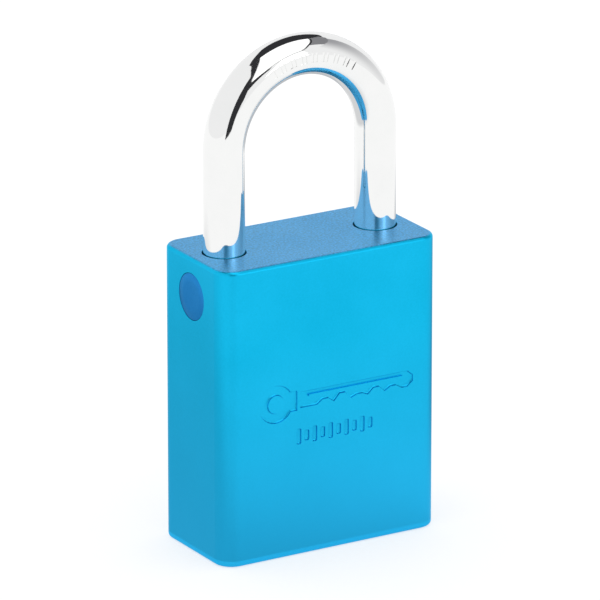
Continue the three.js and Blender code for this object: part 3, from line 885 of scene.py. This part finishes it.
springValues = {
    "shackle": {"coil": 2.5 * mm, "wire": 0.4 * mm, "turns": 7, "low": 9.36 * mm, "high": 21.69 * mm},
    "pin": {"coil": 0.95 * mm, "wire": 0.2 * mm, "turns": 4, "start": -10.46 * mm, "end": -14.33 * mm},
}


def coilUp(name, coil, wire, turns, length, sides, steps):
    # a ring of wire is screwed up the axis, then its two ends are closed
    bpy.ops.object.select_all(action="DESELECT")
    bpy.ops.mesh.primitive_circle_add(vertices=sides, radius=wire, fill_type="NOTHING",
                                      location=(coil, 0, wire), rotation=(math.pi / 2, 0, 0))
    spring = settle(bpy.context.object, name)
    pitch = (length - 2 * wire) / turns
    applyModifier(spring, "SCREW", axis="Z", angle=2 * math.pi, screw_offset=pitch, iterations=turns,
                  steps=steps, render_steps=steps, use_merge_vertices=True, merge_threshold=hair)
    openEdit(spring, "EDGE")
    bpy.ops.mesh.select_all(action="SELECT")
    bpy.ops.mesh.fill_holes(sides=0)
    bpy.ops.mesh.select_all(action="SELECT")
    bpy.ops.mesh.normals_make_consistent(inside=False)
    closeEdit()
    return spring


def makeBalls():
    for side in ("toe", "heel"):
        low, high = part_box("locking_ball_" + side)
        ball = addBall(shackleValues["ball"], (low + high) / 2, 48, side + "Ball")
        finishPiece(ball, side + "_ball", bearingSteel, ["locking_ball_" + side], 60)


def makeSprings(values):
    big = values["shackle"]
    spring = coilUp("shackleSpring", big["coil"], big["wire"], big["turns"],
                    big["high"] - big["low"], 12, 32)
    lay(spring, move=(caseValues["legX"], 0, big["low"]))
    finishPiece(spring, "case", springWire, ["shackle_spring"], 60)
    small = values["pin"]
    length = small["start"] - small["end"]
    first = coilUp("pinSpring1", small["coil"], small["wire"], small["turns"], length, 8, 20)
    lay(first, turn=(0, -90, 0))
    for i, height in reversed(list(enumerate(stackHeights()))):
        place = (small["start"], 0, height)
        spring = copyOf(first, "pinSpring" + str(i + 1), place) if i else lay(first, move=place)
        spring.name = "pinSpring" + str(i + 1)
        finishPiece(spring, "case", springWire, ["pin_spring_" + str(i + 1)], 60)
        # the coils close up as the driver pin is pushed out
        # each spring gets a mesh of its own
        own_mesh(spring)


makeBalls()
makeSprings(springValues)
print("balls and springs made")


# pins of the six stacks

pinValues = {
    "radius": 1.3 * mm,
    "keyLengths": [4.4 * mm, 3.7 * mm, 4.7 * mm, 4 * mm, 3.5 * mm, 4.2 * mm],
    "keyOuter": 5.25 * mm,
    "driverInner": 5.9 * mm,
    "driverLength": 4.4 * mm,
    "waist": 0.9 * mm,
    "spools": (2, 4, 5),
}


def makePins(values):
    radius, length = values["radius"], values["driverLength"]
    for i, height in enumerate(stackHeights()):
        number = str(i + 1)
        # key pin: a rounded cone rests on the key, the outer end is slightly domed
        keyLength = values["keyLengths"][i]
        keyPin = turnedBar("keyPin" + number, [
            (0.2 * mm, 0), (0.45 * mm, 0.05 * mm), (radius - 0.1 * mm, 0.74 * mm), (radius, 0.9 * mm),
            (radius, keyLength - 0.15 * mm), (radius - 0.15 * mm, keyLength - 0.03 * mm),
            (0.6 * mm, keyLength),
        ], 32)
        lay(keyPin, turn=(0, -90, 0))
        lay(keyPin, turn=(0, 0, 90), move=(0, keyLength - values["keyOuter"], height))
        finishPiece(keyPin, "key_pin_body_" + number, keyPinBrass, ["key_pin_" + number])
        # driver pin: plain, or a spool with a thin waist
        edge, waist = 0.2 * mm, values["waist"]
        middle = [(radius, 1 * mm), (waist, 1.2 * mm),
                  (waist, length - 1.2 * mm), (radius, length - 1 * mm)]
        driver = turnedBar("driverPin" + number, [
            (radius - edge, 0), (radius - 0.06 * mm, 0.06 * mm), (radius, edge),
            *(middle if i + 1 in values["spools"] else []),
            (radius, length - edge), (radius - 0.06 * mm, length - 0.06 * mm),
            (radius - edge, length),
        ], 32)
        lay(driver, turn=(0, -90, 0), move=(-values["driverInner"], 0, height))
        finishPiece(driver, "driver_" + number, pinBrass, ["driver_pin_" + number])


makePins(pinValues)
print("pins made")

# the actuator's cam keeps its CAD shape
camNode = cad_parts["actuator"]
camNode.data.materials.clear()
camNode.data.materials.append(sinteredSteel)


# floor, light and camera

stageValues = {
    "floorRadius": 3.4,
    "floorTone": "#ADADAD",
    "floorTooth": "#B8B8B8",
    "floorGlow": 0.63,
    "worldTone": "#FBFBFC",
    "worldStrength": 1.0,
    "panelHeight": 1.04,
    "softboxStrength": 1.4,
    "frontPanelStrength": 2.4,
    "darkTone": "#333336",
    "wallTone": "#A6A6AA",
    "dimTone": "#88888C",
}


def glowMaterial(name, tone, strength=1.0):
    material = bpy.data.materials.new(name)
    material.use_nodes = True
    tree = material.node_tree
    tree.nodes.clear()
    glow = addNode(tree, "ShaderNodeEmission", {"Color": linear(tone), "Strength": strength})
    addNode(tree, "ShaderNodeOutputMaterial", links={"Surface": glow.outputs["Emission"]})
    return material


def fadingGlow(name, tone, centre, inner, outer):
    # glows inside the inner radius and fades to nothing at the outer one
    material = bpy.data.materials.new(name)
    material.use_nodes = True
    tree = material.node_tree
    tree.nodes.clear()
    place = addNode(tree, "ShaderNodeTexCoord").outputs["Object"]
    away = addNode(tree, "ShaderNodeVectorMath", {"operation": "DISTANCE", 1: centre}, {0: place})
    fade = addNode(tree, "ShaderNodeMapRange", {"interpolation_type": "SMOOTHSTEP", "From Min": inner,
                                                "From Max": outer, "To Min": 1.0, "To Max": 0.0},
                   {"Value": away.outputs["Value"]})
    glow = addNode(tree, "ShaderNodeEmission", {"Color": linear(tone), "Strength": 1.0})
    clear = addNode(tree, "ShaderNodeBsdfTransparent")
    both = addNode(tree, "ShaderNodeMixShader", links={0: fade.outputs["Result"], 1: clear.outputs[0],
                                                       2: glow.outputs[0]})
    addNode(tree, "ShaderNodeOutputMaterial", links={"Surface": both.outputs[0]})
    return material


def addCard(name, corners, material):
    # a studio flag or panel of any outline that only shows in reflections
    bpy.ops.object.select_all(action="DESELECT")
    bpy.ops.mesh.primitive_circle_add(vertices=len(corners), radius=1, fill_type="NGON")
    card = bpy.context.object
    card.name = name
    for vert, corner in zip(card.data.vertices, corners):
        vert.co = corner
    card.data.materials.append(material)
    card.visible_camera = False
    card.visible_diffuse = False
    card.visible_shadow = False
    return card


def overhead(points, height):
    # corners of a level card
    return [(x, y, height) for x, y in points]


def around(points, distance):
    # corners given as azimuth from the front (to the right) and elevation, in degrees
    corners = []
    for azimuth, elevation in points:
        turn = math.radians(azimuth)
        height = 0.06 + distance * math.tan(math.radians(elevation))
        corners.append((distance * math.sin(turn), -distance * math.cos(turn), height))
    return corners


def makeStage(values):
    bpy.ops.object.select_all(action="DESELECT")
    bpy.ops.mesh.primitive_circle_add(vertices=96, radius=values["floorRadius"], fill_type="NGON",
                                      location=(0, 0, -0.05 * mm))
    floor = bpy.context.object
    floor.name = "paperFloor"
    paper, tree, shader, place = newMaterial("whitePaper")
    tooth = addNode(tree, "ShaderNodeTexNoise", {"Scale": perMm(0.8), "Detail": 2.0}, {"Vector": place})
    tone = addNode(tree, "ShaderNodeMix", {"data_type": "RGBA", 6: linear(values["floorTone"]),
                                           7: linear(values["floorTooth"])},
                   {0: tooth.outputs["Fac"]})
    tree.links.new(tone.outputs[2], shader.inputs["Base Color"])
    shader.inputs["Roughness"].default_value = 0.9
    shader.inputs["Specular IOR Level"].default_value = 0
    shader.inputs["Emission Color"].default_value = (1, 1, 1, 1)
    shader.inputs["Emission Strength"].default_value = values["floorGlow"]
    # seen from below the paper is clear, so that the lock's bottom can be looked at
    side = addNode(tree, "ShaderNodeNewGeometry")
    clear = addNode(tree, "ShaderNodeBsdfTransparent")
    sheet = addNode(tree, "ShaderNodeMixShader", links={0: side.outputs["Backfacing"],
                                                        1: shader.outputs[0], 2: clear.outputs[0]})
    tree.links.new(sheet.outputs[0], tree.nodes["Material Output"].inputs["Surface"])
    floor.data.materials.append(paper)

    height = values["panelHeight"]
    dark = glowMaterial("blackFlag", values["darkTone"])
    softbox = glowMaterial("softboxCloth", "#FFFFFF", values["softboxStrength"])
    lamp = glowMaterial("frontPanelCloth", "#FFFFFF", values["frontPanelStrength"])
    addCard("softbox", overhead([(-0.4, -1.25), (-0.2, 0.14), (0.59, 0.14), (0.62, -0.65), (0.72, -1.3),
                                 (0, -2.02), (-0.45, -2.0)], height), softbox)
    height -= 0.002
    addCard("ceilingBack", overhead([(-0.2, 0.14), (0.62, 0.15), (1.0, 0.5), (1.1, 0.95), (0.75, 1.42),
                                     (0.38, 1.4), (0.1, 1.15), (-0.1, 0.8), (-0.3, 0.5), (-0.4, 0.3)],
                                    height), dark)
    addCard("ceilingLeft", overhead([(-0.58, -1.3), (-0.44, -1.3), (-0.37, -0.8), (-0.32, -0.45),
                                     (-0.26, -0.15), (-0.2, 0.16), (-0.4, 0.31), (-0.4, 0.05),
                                     (-0.46, -0.27), (-0.5, -0.75)], height), dark)
    addCard("ceilingRight", overhead([(0.64, 0.15), (0.67, -0.65), (0.8, -1.38), (0.74, -1.33),
                                      (0.62, -0.6), (0.6, 0.15)], height), dark)
    addCard("ceilingDim", overhead([(0.64, 0.15), (0.67, -0.65), (1.0, -0.6), (1.05, 0.4), (0.9, 0.5)],
                                   height), glowMaterial("dimWall", values["dimTone"]))
    addCard("ceilingFront", overhead([(0.0, -2.06), (0.74, -1.34), (0.79, -1.38), (0.0, -2.2)],
                                     height), dark)
    addCard("rightWall", [(1.6, -1.6, 0.02), (1.6, 0.4, 0.02), (1.6, 0.4, 1.6), (1.6, -1.6, 1.6)],
            fadingGlow("shadedWall", values["wallTone"], (1.6, 0.1, 1.6), 0.1, 2.1))
    # the gap between the side panels, in front of the lock
    addCard("frontGap", around([(-32, -5.4), (-8, -5.4), (-5, 8), (-9, 17), (8, 20.5), (8, 25), (-14, 29),
                                (-22, 38), (-26, 44), (-32, 44)], 0.62), dark)
    addCard("frontPanel", around([(14, 4), (29, 4), (29, 27), (14, 25)], 1.2), lamp)
    # shade on the paper on both sides of the case, and a dimmer strip of it straight behind
    shadeLeft = [(-0.2, -0.1), (0.05, -0.1), (0.05, 0.2), (-0.2, 0.2)]
    shadeRight = [(0.02, -0.04), (0.2, -0.04), (0.2, 0.2), (0.02, 0.2)]
    behind = [(0.02, 0.06), (0.045, 0.045), (0.75, 0.85), (0.4, 1.05)]
    addCard("floorShade", overhead(shadeLeft, 0.001),
            fadingGlow("shadedPaper", "#DEDFE1", (-0.045, 0.05, 0), 0.06, 0.115))
    addCard("floorShadeRight", overhead(shadeRight, 0.001),
            fadingGlow("rightShadedPaper", "#C2C6CB", (0.085, 0.06, 0), 0.05, 0.095))
    addCard("floorBehind", overhead(behind, 0.001), glowMaterial("dimPaper", "#B4B6BA"))

    world = bpy.data.worlds.new("studio")
    bpy.context.scene.world = world
    world.use_nodes = True
    sky = world.node_tree.nodes["Background"]
    sky.inputs["Color"].default_value = linear(values["worldTone"])
    sky.inputs["Strength"].default_value = values["worldStrength"]


def makeCamera():
    values = {"azimuth": -31.0, "elevation": 18.7, "distance": 1.076, "lens": 425.8,
              "target": (0, 0, 0.03706)}
    around, up = math.radians(values["azimuth"]), math.radians(values["elevation"])
    back = Vector((math.sin(around) * math.cos(up), -math.cos(around) * math.cos(up), math.sin(up)))
    bpy.ops.object.camera_add(location=Vector(values["target"]) + back * values["distance"])
    camera = bpy.context.object
    camera.rotation_mode = "QUATERNION"
    camera.rotation_quaternion = (-back).to_track_quat("-Z", "Y")
    camera.data.lens = values["lens"]
    camera.data.clip_start = 0.05
    camera.data.clip_end = 12
    bpy.context.scene.camera = camera


makeStage(stageValues)
makeCamera()
bpy.context.scene.view_settings.view_transform = "Standard"
print("stage, light and camera ready")
